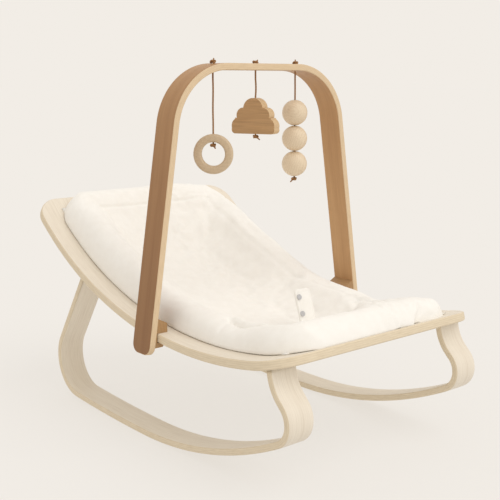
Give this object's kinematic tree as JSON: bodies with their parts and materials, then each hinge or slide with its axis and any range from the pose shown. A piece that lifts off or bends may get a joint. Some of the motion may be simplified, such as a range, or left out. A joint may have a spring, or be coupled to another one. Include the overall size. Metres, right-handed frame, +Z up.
{
  "type": "baby bouncer seat",
  "caption": "Wooden baby rocker seat: a moulded ring frame on two bent rockers, a padded liner with a crotch strap, and a clip-on toy arch with hanging toys.",
  "frame": {"origin": "on the floor, under the middle of the whole object's length and width", "axes": "+X to the right across the seat, +Y from the foot end to the head end, +Z up"},
  "size_m": [0.4364, 0.6296, 0.5621],
  "materials": {
    "birch_ply": "clear matt lacquer on pale moulded birch plywood",
    "arch_ply": "warm oiled hardwood veneer over pale ply",
    "pale_beech": "waxed solid beech",
    "cotton": "ivory cotton, softly padded",
    "cord": "waxed brown cord",
    "steel": "plain zinc-plated steel"
  },
  "bodies": {
    "seat": {"seat_frame": "birch_ply", "left_rocker": "birch_ply", "right_rocker": "birch_ply", "foot_screws": "steel", "head_screws": "steel", "seat_sling": "cotton", "sling_studs": "steel", "seat_cushion": "cotton", "left_waist_strap": "cotton", "right_waist_strap": "cotton"},
    "crotch": {"crotch_strap": "cotton", "crotch_studs": "steel"},
    "arch": {"toy_arch": "arch_ply", "left_clip": "arch_ply", "right_clip": "arch_ply", "clip_screws": "steel", "ring_top_knot": "cord", "cloud_top_knot": "cord", "bead_top_knot": "cord"},
    "ring_neck": {"ring_cord_neck": "cord"},
    "ring_hanger": {"ring_cord": "cord", "ring_end_knot": "cord"},
    "cloud_neck": {"cloud_cord_neck": "cord"},
    "cloud_hanger": {"cloud_cord": "cord", "cloud_end_knot": "cord"},
    "bead_neck": {"bead_cord_neck": "cord"},
    "bead_hanger": {"bead_cord": "cord", "bead_end_knot": "cord"},
    "ring_toy": {"ring_toy": "pale_beech"},
    "cloud_toy": {"cloud_toy": "arch_ply"},
    "bead_top": {"bead_top": "pale_beech"},
    "bead_middle": {"bead_middle": "pale_beech"},
    "bead_bottom": {"bead_bottom": "pale_beech"}
  },
  "joints": [
    {"name": "arch_slide", "type": "hinge", "parent": "seat", "child": "arch", "pos_m": [0, -0.12519, 0.857], "axis": [1, 0, 0], "range_deg": [-10, 8]},
    {"name": "crotch_lift", "type": "hinge", "parent": "seat", "child": "crotch", "pos_m": [0, -0.15262, 0.1718], "axis": [1, 0, 0], "range_deg": [-60, 50]},
    {"name": "ring_swing_forward", "type": "hinge", "parent": "arch", "child": "ring_neck", "pos_m": [-0.082, -0.03019, 0.5434], "axis": [1, 0, 0], "range_deg": [-60, 60]},
    {"name": "ring_swing_side", "type": "hinge", "parent": "ring_neck", "child": "ring_hanger", "pos_m": [-0.082, -0.03019, 0.5324], "axis": [0, 1, 0], "range_deg": [-12, 12]},
    {"name": "cloud_swing_forward", "type": "hinge", "parent": "arch", "child": "cloud_neck", "pos_m": [0, -0.03019, 0.5434], "axis": [1, 0, 0], "range_deg": [-60, 60]},
    {"name": "cloud_swing_side", "type": "hinge", "parent": "cloud_neck", "child": "cloud_hanger", "pos_m": [0, -0.03019, 0.5324], "axis": [0, 1, 0], "range_deg": [-12, 12]},
    {"name": "bead_swing_forward", "type": "hinge", "parent": "arch", "child": "bead_neck", "pos_m": [0.082, -0.03019, 0.5434], "axis": [1, 0, 0], "range_deg": [-60, 60]},
    {"name": "bead_swing_side", "type": "hinge", "parent": "bead_neck", "child": "bead_hanger", "pos_m": [0.082, -0.03019, 0.5324], "axis": [0, 1, 0], "range_deg": [-12, 12]},
    {"name": "ring_spin", "type": "hinge", "parent": "ring_hanger", "child": "ring_toy", "pos_m": [-0.082, -0.03019, 0.423], "axis": [0, 0, 1], "continuous": true},
    {"name": "cloud_spin", "type": "hinge", "parent": "cloud_hanger", "child": "cloud_toy", "pos_m": [0, -0.03019, 0.477], "axis": [0, 0, 1], "continuous": true},
    {"name": "bead_top_spin", "type": "hinge", "parent": "bead_hanger", "child": "bead_top", "pos_m": [0.082, -0.03019, 0.48], "axis": [0, 0, 1], "continuous": true},
    {"name": "bead_middle_spin", "type": "hinge", "parent": "bead_hanger", "child": "bead_middle", "pos_m": [0.082, -0.03019, 0.4397], "axis": [0, 0, 1], "continuous": true},
    {"name": "bead_bottom_spin", "type": "hinge", "parent": "bead_hanger", "child": "bead_bottom", "pos_m": [0.082, -0.03019, 0.3994], "axis": [0, 0, 1], "continuous": true}
  ]
}
